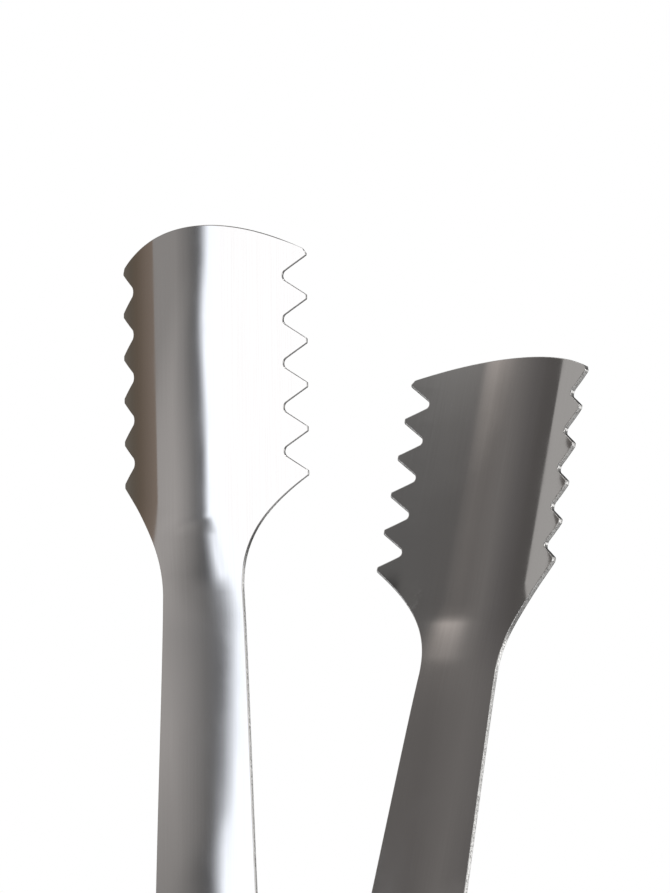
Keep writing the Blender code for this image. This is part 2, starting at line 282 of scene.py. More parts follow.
# Each arm is a middle surface of rows up the arm, given its thickness and a rounded, sheared rim.
arm = {
    "sheet": 0.0006,
    "lean": math.radians(9.1),
    "pinHeight": 0.006785446,
    "backOffset": 0.0059,
    "neckWidth": 0.00605,
    "taper": 0.0428,
    "dishRadius": (0.068, 0.047),  # of the handle's shallow dish, at the neck and below it
    "dishFade": 0.04,  # from one to the other
    "flareLength": 0.0136,
    "flarePower": 2.25,
    "troughAt": 0.1275,  # from here up the dish deepens into the jaw's trough
    "troughLength": 0.015,
    "neckStep": 0.00073,  # the trough is pressed this much further out than the neck
    "neckDraw": 0.00044,  # and the neck is drawn in by this
    "neckDrawAt": 0.09,
    "neckStepAt": 0.1268,
    "neckStepLength": 0.0138,
    "neckStepEnds": (0.46, 0.2),  # a long rounding at its foot and a short one under the trough
    "pinHole": 0.0018,
    "holeMargin": 0.00045,  # faces this near to the hole give way to a ring
    "earRadius": 0.0042,
    "earBeyond": 0.008,  # the ears lie further from the middle than this
    "foldRadius": 0.0016,
    "foldLength": 0.03,
    "foldShare": 3 / 8,  # of the half width, where the sheet is still flat
    "flangeShare": 1 / 4,
    "flangeReach": 0.045,
    "flangeStart": 0.0004,
    "nest": 0.0016,  # the right arm's flanges pass inside the left arm's
    "lipBend": 0.0012,
    "lipStart": -0.0046,
    "lipInset": 0.0005,
    "lipGap": 0.00015,
    "lipCorner": 0.0009,
    "rimRound": 0.00012,
    "rimSteps": 3,
    "rimColumn": 0.0003,  # the outermost column of faces leaves room for the rounding
    "rimCorner": 1.6,  # how much deeper the rounding may start at a corner
    "rimRoom": 0.6,  # the share of the outermost faces that it may take
    "rimLeast": 0.00001,  # and the least that it takes
    "flatColumns": 12,
    "foldColumns": 6,
    "flangeColumns": 14,
    "fanColumns": 6,  # the outer ones, which follow the teeth
    "rows": {"ear": 18, "pin": 12, "flange": 32, "fold": 30, "handle": 40, "flare": 44, "end": 8},
    "lipRows": {"bend": 8, "flat": 6, "corner": 6},
}

jaw = {
    "teeth": 6,
    "pitch": 0.0052,
    "depth": 0.00285,
    "tipFlat": 0.00028,  # half of the flat on a tooth's point
    "tipRound": 0.00016,
    "valleyRound": 0.00075,
    "fanStart": 0.0011,  # from the valleys in to where the columns fan out
    "reach": 0.1446,
    "radius": 0.0285,
    "halfGirth": 0.01456,
    "endRise": 0.00415,
    "endCorner": 0.00035,
    "valleySteps": 6,
    "flankSteps": 5,
    "tipSteps": 4,
}

halfColumns = arm["flatColumns"] + arm["foldColumns"] + arm["flangeColumns"]
innerColumns = halfColumns - arm["fanColumns"]
neckAt = jaw["reach"] - arm["flareLength"]
foldStart = arm["flangeReach"] + arm["foldLength"]
topTooth = jaw["reach"] + (jaw["teeth"] - 1) * jaw["pitch"]
widest = arm["neckWidth"] + arm["taper"] * neckAt
foldTop = arm["backOffset"] - arm["foldRadius"]


def backLine(along):
    # the middle of the back draws in up the handle and steps out again at the neck
    drawn = ease((along - arm["neckDrawAt"]) / (arm["neckStepAt"] - arm["neckDrawAt"]))
    out = ramp((along - arm["neckStepAt"]) / arm["neckStepLength"], *arm["neckStepEnds"])
    return arm["neckStep"] * out - arm["neckDraw"] * drawn


def sectionPoint(along, distance, flat=0, fold=0, angle=0):
    # across and outward place, going round the dish, then the fold, then the flange
    jawShare = ease((along - arm["troughAt"]) / arm["troughLength"])
    handleShare = ease((along - arm["flangeReach"]) / arm["foldLength"])
    dishRadius = mix(*arm["dishRadius"], ease((neckAt - along) / arm["dishFade"]))
    dish = mix(handleShare / dishRadius, 1 / jaw["radius"], jawShare)
    bend = dish + angle / (fold - flat) if fold > flat else dish
    across, outward, heading = 0, arm["backOffset"] + backLine(along), 0
    for start, end, curve in ((0, flat, dish), (flat, fold, bend), (fold, 1, dish)):
        length = min(distance, end) - start
        if length <= 0:
            continue
        turned = heading + curve * length
        if abs(curve) < 1e-6:
            across += length * math.cos(heading)
            outward -= length * math.sin(heading)
        else:
            across += (math.sin(turned) - math.sin(heading)) / curve
            outward -= (math.cos(heading) - math.cos(turned)) / curve
        heading = turned
    return across, outward


def flangeHeight(along):
    # round about the pin, then a straight line up to where the flange starts
    ear = arm["earRadius"]
    farAlong, farOut = arm["flangeReach"], foldTop - arm["flangeStart"]
    angle = math.atan2(farOut, farAlong) - math.acos(ear / math.hypot(farAlong, farOut))
    touchAlong, touchOut = ear * math.cos(angle), ear * math.sin(angle)
    if along < touchAlong:
        edge = -math.sqrt(max(ear**2 - along**2, 0))
    else:
        edge = mix(touchOut, farOut, min((along - touchAlong) / (farAlong - touchAlong), 1))
    return foldTop - edge


def handleRow(along, nest):
    turned = ease((foldStart - along) / arm["foldLength"])
    width = min(arm["neckWidth"] + arm["taper"] * (neckAt - along), widest) - nest * turned
    angle = turned * math.pi / 2
    foldRun = mix(width * arm["foldShare"], arm["foldRadius"] * math.pi / 2, turned)
    flange = mix(width * arm["flangeShare"], flangeHeight(along), 1 - (1 - turned) ** 2)
    foldReach = foldRun * math.sin(angle) / angle if angle else foldRun
    flat = width - foldReach - flange * math.cos(angle) - arm["sheet"] / 2 * math.sin(angle)
    fold, edge = flat + foldRun, flat + foldRun + flange
    last = edge - arm["rimColumn"]
    even = steps(0, last, halfColumns - 1) + [last, edge]
    folded = steps(0, flat, arm["flatColumns"]) + steps(flat, fold, arm["foldColumns"])
    folded += steps(fold, last, arm["flangeColumns"] - 1) + [last, edge]
    columns = [mix(a, b, turned) for a, b in zip(even, folded)]
    return [(along, q, *sectionPoint(along, q, flat, fold, angle)) for q in columns]


def plainRow(along, girth, inner):
    last = girth - arm["rimColumn"]
    columns = steps(0, inner, innerColumns) + steps(inner, last, arm["fanColumns"] - 1)
    columns += [last, girth]
    return [(along, q, *sectionPoint(along, q)) for q in columns]


def toothOutline():
    # (along, girth) from a valley's middle up to the middle of the next point
    run = jaw["pitch"] / 2 - jaw["tipFlat"]
    valleyRound, tipRound = jaw["valleyRound"], jaw["tipRound"]
    low, high = 1, 2
    for _ in range(40):  # halves in on the flank's slope
        slope = (low + high) / 2
        drop = slope * run - valleyRound * (math.hypot(1, slope) - 1)
        low, high = (slope, high) if drop < jaw["depth"] else (low, slope)
    turn = math.atan(slope)
    valley, tip = [], []
    centre = jaw["halfGirth"] - jaw["depth"] + valleyRound
    for angle in steps(0, turn, jaw["valleySteps"]) + [turn]:
        valley.append((valleyRound * math.sin(angle), centre - valleyRound * math.cos(angle)))
    tipAlong = run + tipRound * math.tan(turn / 2)
    for angle in steps(turn, 0, jaw["tipSteps"]) + [0]:
        below = tipRound * (1 - math.cos(angle))
        tip.append((tipAlong - tipRound * math.sin(angle), jaw["halfGirth"] - below))
    tip.append((jaw["pitch"] / 2, jaw["halfGirth"]))
    flank = []
    for share in steps(0, 1, jaw["flankSteps"])[1:]:
        flank.append(tuple(mix(a, b, share) for a, b in zip(valley[-1], tip[0])))
    return valley + flank + tip


def armRows(nest):
    ear, count = arm["earRadius"], arm["rows"]
    places = [-ear * math.cos(turn) for turn in steps(0, math.pi / 2, count["ear"])]
    places += steps(0, ear, count["pin"]) + steps(ear, arm["flangeReach"], count["flange"])
    places += steps(arm["flangeReach"], foldStart, count["fold"])
    places += steps(foldStart, neckAt, count["handle"])
    rows = [handleRow(along, nest) for along in places]

    inner = jaw["halfGirth"] - jaw["depth"] - jaw["fanStart"]
    rise = [(along - jaw["pitch"] / 2, girth) for along, girth in toothOutline()]
    fall = [(-along, girth) for along, girth in rise[-2::-1]]
    tip = rise[-jaw["tipSteps"] - 2 :]  # the rounded point, from its flank to its middle
    flareTop, flareGirth = jaw["reach"] + tip[0][0], tip[0][1]
    for share in steps(0, 1, count["flare"]):
        along = mix(neckAt, flareTop, share)
        girth = mix(arm["neckWidth"], flareGirth, share ** arm["flarePower"])
        within = mix(innerColumns / halfColumns, inner / flareGirth, ease(share))
        rows.append(plainRow(along, girth, girth * within))
    for tooth in range(jaw["teeth"]):
        point = jaw["reach"] + tooth * jaw["pitch"]
        shape = (tip if tooth == 0 else rise[1:]) + (fall if tooth < jaw["teeth"] - 1 else [])
        rows += [plainRow(point + along, girth, inner) for along, girth in shape]

    corner = rows[-1]
    for share in steps(0, 1, count["end"])[1:] + [1]:  # the arched end
        row = []
        for _, q, _, _ in corner:
            q -= jaw["endCorner"] * share * max(0, (q - inner) / (jaw["halfGirth"] - inner)) ** 4
            end = mix(jaw["endRise"], jaw["endCorner"], (q / jaw["halfGirth"]) ** 2)
            along = topTooth + end * share
            row.append((along, q, *sectionPoint(along, q)))
        rows.append(row)
    return rows


def lipRows(firstRow):
    # the heel lip bends in from the flat of the back until it lies level under the open tongs
    count, columns = arm["lipRows"], arm["flatColumns"]
    bend, corner = arm["lipBend"], arm["lipCorner"]
    turn = math.pi / 2 - arm["lean"]
    flat = firstRow[columns][2] - arm["lipInset"]
    bent = arm["backOffset"] - bend * (1 - math.cos(turn))
    bentAlong = arm["lipStart"] - bend * math.sin(turn)
    length = bent * math.cos(arm["lean"]) + bentAlong * math.sin(arm["lean"]) - arm["lipGap"]
    stations = [(angle, 0) for angle in steps(0, turn, count["bend"])]
    stations += [(turn, run) for run in steps(0, length - corner, count["flat"])]
    for angle in steps(0, math.pi / 2, count["corner"]):
        stations.append((turn, length - corner * (1 - math.sin(angle))))
    stations.append((turn, length))
    rows = []
    for angle, run in stations:
        outward = arm["backOffset"] - bend * (1 - math.cos(angle)) - run * math.sin(angle)
        along = arm["lipStart"] - bend * math.sin(angle) - run * math.cos(angle)
        past = max(0, (run - length) / corner + 1)
        half = flat - corner * (1 - math.sqrt(max(0, 1 - past * past)))
        across = [half * i / columns for i in range(columns + 1)]
        rows.append([(along, place, place, outward) for place in across])
    return rows


def openEdges(faces):
    # the edges with a face on one side only, running as that face does
    edges = {}
    for face in faces:
        for i in range(len(face)):
            edges[(face[i], face[(i + 1) % len(face)])] = True
    return [(a, b) for a, b in edges if (b, a) not in edges]


def pierce(points, sheet, faces):
    # the pin hole in each ear: faces round the pin give way to a ring that meets the hole
    nearest = arm["pinHole"] + arm["holeMargin"]
    for ear in (-1, 1):
        near = set()
        for i, (outward, across, along) in enumerate(points):
            if ear * across > arm["earBeyond"] and math.hypot(outward, along) < nearest:
                near.add(i)
        border = dict(openEdges([face for face in faces if near & set(face)]))
        faces = [face for face in faces if not near & set(face)]
        loop = [next(iter(border))]
        while border[loop[-1]] != loop[0]:
            loop.append(border[loop[-1]])
        ring = []
        for i in loop:
            outward, across, along = points[i]
            size = arm["pinHole"] / math.hypot(outward, along)
            ring.append(len(points))
            points.append((outward * size, across, along * size))
            beside = sheet[i][0] + ear * outward * (1 - size) * armFinish["uvScale"]
            sheet.append((beside, along * size * armFinish["uvScale"]))
        for i in range(len(loop)):
            j = (i + 1) % len(loop)
            faces.append((loop[i], loop[j], ring[j], ring[i]))
    return faces


def middleSurface(side, nest):
    points, sheet, faces = [], [], []

    def addRow(row):
        start = len(points)
        mirrored = [(along, -q, -across, outward) for along, q, across, outward in row[:0:-1]]
        for along, q, across, outward in mirrored + row:
            points.append((outward, across, along))
            sheet.append((q * armFinish["uvScale"], along * armFinish["uvScale"]))
        return start

    def joinRows(lower, upper, count):
        for i in range(count):
            faces.append((lower + i, lower + i + 1, upper + i + 1, upper + i))

    rows = armRows(nest)
    starts = [addRow(row) for row in rows]
    for lower, upper in zip(starts, starts[1:]):
        joinRows(lower, upper, 2 * halfColumns)
    upper = starts[0] + halfColumns - arm["flatColumns"]
    for row in lipRows(rows[0]):
        lower = addRow(row)
        joinRows(lower, upper, 2 * arm["flatColumns"])
        upper = lower
    faces = pierce(points, sheet, faces)

    leanCos, leanSin = math.cos(arm["lean"]), math.sin(arm["lean"])
    outward, across, along = np.array(points).T
    beside = outward * leanCos + along * leanSin
    above = arm["pinHeight"] + along * leanCos - outward * leanSin
    placed = np.stack([side * beside, across, above], axis=1)
    if side < 0:
        faces = [face[::-1] for face in faces]
    return placed, np.array(sheet), faces


def rimShape(points, normals, faces, rim):
    # each rim point's rank, the way out from it, and how far back its rounding starts
    outward = np.zeros_like(points)
    for a, b in rim:
        run = points[b] - points[a]
        for i in (a, b):
            out = np.cross(run, normals[i])
            outward[i] += out / np.linalg.norm(out)
    rank = {vertex: i for i, vertex in enumerate(sorted({a for a, _ in rim}))}
    outward = outward[list(rank)]
    length = np.linalg.norm(outward, axis=1)[:, None]
    away = outward / length
    room = np.full(len(rank), np.inf)  # from the rim to the next row or column of points
    for face in faces:
        inside = [i for i in face if i not in rank]
        for i in face:
            if i in rank and inside:
                gap = min((points[i] - points[j]) @ away[rank[i]] for j in inside)
                room[rank[i]] = min(room[rank[i]], gap)
    inward = arm["rimRound"] * np.minimum(2 / length, arm["rimCorner"])  # keeps its width at a corner
    inward = np.minimum(inward, np.maximum(room * arm["rimRoom"], arm["rimLeast"])[:, None])
    return rank, away, inward


def sheetBody(name, points, sheet, faces, materials):
    # thickness to both sides of the middle surface, with the rim rounded off
    middle = bpy.data.meshes.new("middle")
    middle.from_pydata(points.tolist(), [], faces)
    normals = np.array([n.vector for n in middle.vertex_normals])
    bpy.data.meshes.remove(middle)

    rim = openEdges(faces)
    rank, away, inward = rimShape(points, normals, faces, rim)
    onRim, count = list(rank), len(points)
    half, rimRound, rimSteps = arm["sheet"] / 2, arm["rimRound"], arm["rimSteps"]
    inset = points.copy()
    inset[onRim] -= away * inward
    body = [inset + normals * half, inset - normals * half]
    facing = [normals, -normals]
    uv = [sheet, sheet]
    turns = [math.pi / 2 * i / rimSteps for i in range(1, rimSteps + 1)]
    profile = [(math.sin(t), half - rimRound * (1 - math.cos(t))) for t in turns]
    profile += [(out, -height) for out, height in profile[::-1]]
    angles = turns + [math.pi - t for t in turns[::-1]]
    for (out, height), angle in zip(profile, angles):
        body.append(points[onRim] - away * inward * (1 - out) + normals[onRim] * height)
        facing.append(away * math.sin(angle) + normals[onRim] * math.cos(angle))
        uv.append(sheet[onRim])
    body, facing, uv = np.concatenate(body), np.concatenate(facing), np.concatenate(uv)

    solid = [tuple(face) for face in faces]
    solid += [tuple(i + count for i in face[::-1]) for face in faces]
    slots = [0] * len(solid)
    for a, b in rim:
        ends = [(a, b)]
        for start in range(2 * count, len(body), len(onRim)):
            ends.append((start + rank[a], start + rank[b]))
        ends.append((a + count, b + count))
        for (a0, b0), (a1, b1) in zip(ends, ends[1:]):
            solid.append((b0, a0, a1, b1))
        slots += [0] * rimSteps + [1] * (rimSteps + 1)  # polished at the outer side, then torn

    mesh = bpy.data.meshes.new(name)
    mesh.from_pydata(body.tolist(), [], solid)
    mesh.shade_smooth()
    layer = mesh.uv_layers.new(name="sheet")
    corners = np.zeros(len(mesh.loops), dtype=np.int32)
    mesh.loops.foreach_get("vertex_index", corners)
    layer.data.foreach_set("uv", uv[corners].astype(np.float32).ravel())
    for material in materials:
        mesh.materials.append(material)
    mesh.polygons.foreach_set("material_index", slots)
    mesh.normals_split_custom_set_from_vertices(facing.tolist())
    mesh.update()
    return addObject(name, mesh)


for side, body, nest in ((-1, "left_arm", 0), (1, "right_arm", arm["nest"])):
    pressed = sheetBody("pressed_" + body, *middleSurface(side, nest), armMaterials)
    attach(pressed, body)
    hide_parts(body)
    print(pressed.name, "made,", len(pressed.data.polygons), "faces")

# The rivet pin, collar, washers and sleeve are all turned about the pin's axis.
hinge = {
    "pinRadius": 0.0016,
    "pinRound": 0.00016,  # of its edges
    "headRadius": 0.0034,
    "headHeight": 0.0014,
    "headRim": 0.0002,
    "headSeat": 0.0119564,  # from the middle of the tongs to the underside of the head
    "footRadius": 0.0023,
    "footHeight": 0.0006,
    "footEdge": 0.00018,
    "footDimple": 0.00014,
    "bore": 0.0018,
    "collarRadius": 0.0033,
    "collarThickness": 0.0011,
    "collarRound": 0.0002,
    "washerRadius": 0.0036,
    "washerThickness": 0.0004,
    "washerOutside": 0.0107564,
    "washerRound": 0.0001,
    "sleeveRadius": 0.0023,
    "sleeveHalf": 0.0091564,
    "sleeveRound": 0.00012,
    "clearance": 0.0003,
    "facets": 96,
    "domeSteps": 18,
    "sharpFrom": 32,  # degrees
}

turnedFinish = {
    "rivet": {
        "bright": (0.76, 0.75, 0.74, 1),
        "dull": (0.58, 0.57, 0.56, 1),
        "roughness": (0.14, 0.26),
        "hazeSpan": (0.3, 0.7),
        "depth": 0.000004,
    },
    "washer": {
        "bright": (0.62, 0.61, 0.6, 1),
        "dull": (0.44, 0.43, 0.42, 1),
        "roughness": (0.24, 0.4),
        "hazeSpan": (0.3, 0.7),
        "depth": 0.000004,
    },
}


# Tool rings round the pin's axis, and the duller patches between them.
def toolRings():
    group, given, wanted = newGroup(
        "tool rings",
        "ShaderNodeTree",
        [
            ("Spot", "NodeSocketVector", None),
            ("Axis Height", "NodeSocketFloat", arm["pinHeight"]),
            ("Ring Width", "NodeSocketFloat", 0.00009),
            ("Patch Size", "NodeSocketFloat", 0.0012),
        ],
        [("Rings", "NodeSocketFloat"), ("Patches", "NodeSocketFloat")],
    )
    split = addNode(group, "ShaderNodeSeparateXYZ", (-700, 200))
    lower = addNode(group, "ShaderNodeMath", (-500, 100), {"operation": "SUBTRACT"})
    flat = addNode(group, "ShaderNodeCombineXYZ", (-300, 150))
    radius = addNode(group, "ShaderNodeVectorMath", (-100, 150), {"operation": "LENGTH"})
    cut = addNode(group, "ShaderNodeCombineXYZ", (100, 150))
    group.links.new(given["Spot"], split.inputs[0])
    group.links.new(split.outputs[2], lower.inputs[0])
    group.links.new(given["Axis Height"], lower.inputs[1])
    group.links.new(split.outputs[0], flat.inputs[0])
    group.links.new(lower.outputs[0], flat.inputs[1])
    group.links.new(flat.outputs[0], radius.inputs[0])
    group.links.new(radius.outputs["Value"], cut.inputs[0])
    group.links.new(split.outputs[1], cut.inputs[1])
    for label, output, source, height in (
        ("Ring Width", "Rings", cut.outputs[0], 200),
        ("Patch Size", "Patches", given["Spot"], -200),
    ):
        size = addNode(group, "ShaderNodeMath", (100, height - 120), {"operation": "DIVIDE"}, {0: 1})
        noise = addNode(group, "ShaderNodeTexNoise", (400, height), inputs={"Detail": 3})
        group.links.new(given[label], size.inputs[1])
        group.links.new(source, noise.inputs["Vector"])
        group.links.new(size.outputs[0], noise.inputs["Scale"])
        group.links.new(noise.outputs[0], wanted[output])
    return group


ringGroup = toolRings()


def turnedSteel(name, finish):
    material, tree, shader = newMaterial(name, 1)
    spot = addNode(tree, "ShaderNodeTexCoord", (-900, 0))
    rings = addNode(tree, "ShaderNodeGroup", (-650, 0), {"node_tree": ringGroup})
    tree.links.new(spot.outputs["Object"], rings.inputs["Spot"])
    linkTone(tree, shader, rings.outputs["Patches"], finish)
    linkHaze(tree, shader, rings.outputs["Rings"], finish)
    linkBump(tree, shader, rings.outputs["Rings"], finish["depth"])
    return material


def rounded(profile, radius, closed):
    # each corner of a (radius, place) outline gives way to a small arc
    corners = [Vector(point) for point in profile]
    most = 0.45  # of either side
    outline = []
    for i, corner in enumerate(corners):
        if not closed and i in (0, len(corners) - 1):
            outline.append(corner)
            continue
        before = corners[i - 1] - corner
        after = corners[(i + 1) % len(corners)] - corner
        reach = min(radius, before.length * most, after.length * most)
        start, end = corner + before.normalized() * reach, corner + after.normalized() * reach
        for share in (0, 0.25, 0.5, 0.75, 1):
            outline.append(start.lerp(corner, share).lerp(corner.lerp(end, share), share))
    return [tuple(point) for point in outline]


def turnedPiece(name, profile, closed, material):
    points, faces, rings = [], [], []
    facets = hinge["facets"]
    for radius, place in profile:
        if radius < 1e-7:
            rings.append([len(points)] * facets)
            points.append((0, place, arm["pinHeight"]))
            continue
        rings.append([len(points) + i for i in range(facets)])
        for i in range(facets):
            angle = 2 * math.pi * i / facets
            above = arm["pinHeight"] + radius * math.sin(angle)
            points.append((radius * math.cos(angle), place, above))
    pairs = list(zip(rings, rings[1:]))
    if closed:
        pairs.append((rings[-1], rings[0]))
    for first, second in pairs:
        for i in range(facets):
            j = (i + 1) % facets
            faces.append(tuple(dict.fromkeys((first[i], first[j], second[j], second[i]))))
    mesh = bpy.data.meshes.new(name)
    mesh.from_pydata(points, [], faces)
    mesh.materials.append(material)
    mesh.shade_smooth()
    mesh.set_sharp_from_angle(angle=math.radians(hinge["sharpFrom"]))
    return addObject(name, mesh)


def ringProfile(kind, near, far):
    bore, radius = hinge["bore"], hinge[kind + "Radius"]
    corners = [(bore, near), (bore, far), (radius, far), (radius, near)]
    return rounded(corners, hinge[kind + "Round"], True)


def pinProfile():
    seat, rim, wide = hinge["headSeat"], hinge["headRim"], hinge["headRadius"]
    foot = seat + hinge["collarThickness"] + hinge["clearance"]
    end = foot + hinge["footHeight"]
    peened, dimple = hinge["footRadius"], hinge["footDimple"]
    shank = [(0, end - dimple), (peened * 0.3, end - dimple * 0.8), (peened * 0.6, end)]
    shank += [(peened, end - hinge["footEdge"]), (peened, foot)]
    shank += [(hinge["pinRadius"], foot), (hinge["pinRadius"], -seat)]
    dome = [(wide, -seat), (wide, -seat - rim)]
    for angle in steps(0.1, math.pi / 2, hinge["domeSteps"]):
        dome.append((wide * math.cos(angle), -seat - mix(rim, hinge["headHeight"], math.sin(angle))))
    dome.append((0, -seat - hinge["headHeight"]))
    return rounded(shank + dome, hinge["pinRound"], False)


def addHinge():
    rivet = turnedSteel("rivet steel", turnedFinish["rivet"])
    washer = turnedSteel("washer steel", turnedFinish["washer"])
    seat, outside = hinge["headSeat"], hinge["washerOutside"]
    inside = outside - hinge["washerThickness"]
    collar = ringProfile("collar", seat, seat + hinge["collarThickness"])
    front = ringProfile("washer", -outside, -inside)
    rear = ringProfile("washer", inside, outside)
    sleeve = ringProfile("sleeve", -hinge["sleeveHalf"], hinge["sleeveHalf"])
    pieces = [
        ("rivet_pin", "hinge_pin", "rivet_steel", pinProfile(), False, rivet),
        ("rivet_collar", "pin_collar", "rivet_steel", collar, True, rivet),
        ("washer_front", "front_washer", "washer_steel", front, True, washer),
        ("washer_rear", "rear_washer", "washer_steel", rear, True, washer),
        ("sleeve_tube", "spring_sleeve", "washer_steel", sleeve, True, washer),
    ]
    for name, node, slot, profile, closed, material in pieces:
        piece = turnedPiece(name, profile, closed, material)
        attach(piece, "left_arm")
        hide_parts(node)
    print("hinge pieces turned:", len(pieces))


addHinge()

# The torsion spring is one wire, swept along its path by Geometry Nodes.
spring = {
    "wire": 0.001,
    "turns": 5,
    "pitch": 0.00155,
    "coilRadius": 0.00315,
    "coilEnd": 0.0007,  # of the coil's half length, which follows the arm with the leg
    "legOut": 0.0048,  # a leg's end, out from the pin and up the arm
    "legUp": 0.016,
    "legPoints": 12,
    "pointsPerTurn": 44,
    "facets": 18,
    "sharpFrom": 50,  # degrees
    "bright": (0.56, 0.55, 0.53, 1),
    "dull": (0.3, 0.285, 0.27, 1),
    "roughness": (0.18, 0.42),
    "hazeSpan": (0, 1),
    "depth": 0.000005,
    "patches": 260,  # to a metre of wire
    "grain": 9000,
}


def springPath():
    reach = math.hypot(spring["legOut"], spring["legUp"])
    touch = math.atan2(spring["legUp"], spring["legOut"]) - math.acos(spring["coilRadius"] / reach)
    leave = touch - arm["lean"]
    enter = math.pi - leave
    sweep = leave - enter + 2 * math.pi * (spring["turns"] + 1)
    half = spring["pitch"] * sweep / (4 * math.pi)
    count = round(spring["pointsPerTurn"] * sweep / (2 * math.pi))
    leanCos, leanSin = math.cos(arm["lean"]), math.sin(arm["lean"])
    beside = spring["legOut"] * leanCos + spring["legUp"] * leanSin
    above = spring["legUp"] * leanCos - spring["legOut"] * leanSin
    coil = []
    for i in range(count + 1):
        angle = enter + sweep * i / count
        coil.append(Vector((math.cos(angle), 0, math.sin(angle))) * spring["coilRadius"])
        coil[-1].y = mix(-half, half, i / count)
    ends = Vector((-beside, -half, above)), Vector((beside, half, above))
    shares = steps(0, 1, spring["legPoints"])
    first = [ends[0].lerp(coil[0], share) for share in shares]
    last = [ends[1].lerp(coil[-1], share) for share in shares]
    lift = Vector((0, 0, arm["pinHeight"]))
    return [point + lift for point in first + coil + last[::-1]], half


def wireTree():
    tree, given, wanted = newGroup(
        "spring wire",
        "GeometryNodeTree",
        [
            ("Path", "NodeSocketGeometry", None),
            ("Wire Radius", "NodeSocketFloat", 0.0005),
            ("Facets", "NodeSocketInt", 18),
            ("Steel", "NodeSocketMaterial", None),
        ],
        [("Wire", "NodeSocketGeometry")],
    )
    circle = addNode(tree, "GeometryNodeCurvePrimitiveCircle", (-600, -250))
    length = addNode(tree, "GeometryNodeSplineParameter", (-850, 250))
    point = {"domain": "POINT", "data_type": "FLOAT"}
    keep = addNode(tree, "GeometryNodeStoreNamedAttribute", (-600, 150), point, {"Name": "wireLength"})
    sweep = addNode(tree, "GeometryNodeCurveToMesh", (-300, 0), inputs={"Fill Caps": True})
    smooth = addNode(tree, "GeometryNodeSetShadeSmooth", (-50, 0))
    cover = addNode(tree, "GeometryNodeSetMaterial", (200, 0))
    real = addNode(tree, "GeometryNodeRealizeInstances", (450, 0))
    links = tree.links
    links.new(given["Path"], keep.inputs["Geometry"])
    links.new(length.outputs["Length"], keep.inputs["Value"])
    links.new(keep.outputs["Geometry"], sweep.inputs["Curve"])
    links.new(given["Facets"], circle.inputs["Resolution"])
    links.new(given["Wire Radius"], circle.inputs["Radius"])
    links.new(circle.outputs["Curve"], sweep.inputs["Profile Curve"])
    links.new(sweep.outputs["Mesh"], smooth.inputs["Geometry"])
    links.new(smooth.outputs["Geometry"], cover.inputs["Geometry"])
    links.new(given["Steel"], cover.inputs["Material"])
    links.new(cover.outputs["Geometry"], real.inputs["Geometry"])
    links.new(real.outputs["Geometry"], wanted["Wire"])
    return tree


def wireSteel():
    material, tree, shader = newMaterial("spring wire steel", 1)
    run = addNode(tree, "ShaderNodeAttribute", (-1100, 200), {"attribute_name": "wireLength"})
    spot = addNode(tree, "ShaderNodeTexCoord", (-1100, -100))
    along = {"Scale": spring["patches"], "Detail": 3}
    patches = addNode(tree, "ShaderNodeTexNoise", (-700, 250), {"noise_dimensions": "1D"}, along)
    tree.links.new(run.outputs["Fac"], patches.inputs["W"])
    fine = {"Scale": spring["grain"], "Detail": 2}
    grain = addNode(tree, "ShaderNodeTexNoise", (-700, -100), inputs=fine)
    tree.links.new(spot.outputs["Object"], grain.inputs["Vector"])
    linkTone(tree, shader, patches.outputs[0], spring)
    linkHaze(tree, shader, grain.outputs[0], spring)
    linkBump(tree, shader, grain.outputs[0], spring["depth"])
    return material


def addSpring():
    points, half = springPath()
    path = bpy.data.curves.new("wire_path", "CURVE")
    path.dimensions = "3D"
    spline = path.splines.new("POLY")
    spline.points.add(len(points) - 1)
    for target, point in zip(spline.points, points):
        target.co = (*point, 1)
    guide = addObject("wire_path", path)
    tree = wireTree()
    sweep = guide.modifiers.new("wire", "NODES")
    sweep.node_group = tree
    sizes = {"Wire Radius": spring["wire"] / 2, "Facets": spring["facets"], "Steel": wireSteel()}
    for item in tree.interface.items_tree:
        if item.in_out == "INPUT" and item.name in sizes:
            sweep[item.identifier] = sizes[item.name]
    graph = bpy.context.evaluated_depsgraph_get()
    mesh = bpy.data.meshes.new_from_object(guide.evaluated_get(graph))
    mesh.set_sharp_from_angle(angle=math.radians(spring["sharpFrom"]))
    bpy.data.objects.remove(guide)
    wire = addObject("spring_wire", mesh)
    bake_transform(wire)
    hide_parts("torsion_spring")
    print("spring wire swept,", len(mesh.polygons), "faces")


addSpring()

studio = {
    "floorRadius": 6,
    "floorSides": 96,
    "floorColour": (0.82, 0.82, 0.82, 1),
    "floorRoughness": 0.9,
    "roomLight": 0.45,  # of the white room on dull surfaces
    "lampPlace": (-0.9, -1.1, 1.6),
    "lampAim": (0, 0, 0.1),
    "lampSize": 1.2,
    "lampPower": 22,
}


def addWorld():
    # white to the eye and in reflections, softer on dull surfaces
    world = bpy.data.worlds.new("studio")
    world.use_nodes = True
    tree = world.node_tree
    sky = tree.nodes["Background"]
    sky.inputs["Color"].default_value = (1, 1, 1, 1)
    path = addNode(tree, "ShaderNodeLightPath", (-800, 0))
    seen = addNode(tree, "ShaderNodeMath", (-550, 100), {"operation": "MAXIMUM"})
    shown = addNode(tree, "ShaderNodeMath", (-350, 50), {"operation": "MAXIMUM"})
    room = {"To Min": studio["roomLight"], "To Max": 1}
    level = addNode(tree, "ShaderNodeMapRange", (-150, 0), inputs=room)
    tree.links.new(path.outputs["Is Camera Ray"], seen.inputs[0])
    tree.links.new(path.outputs["Is Glossy Ray"], seen.inputs[1])
    tree.links.new(seen.outputs[0], shown.inputs[0])
    tree.links.new(path.outputs["Is Transmission Ray"], shown.inputs[1])
    tree.links.new(shown.outputs[0], level.inputs["Value"])
    tree.links.new(level.outputs[0], sky.inputs["Strength"])
    scene.world = world


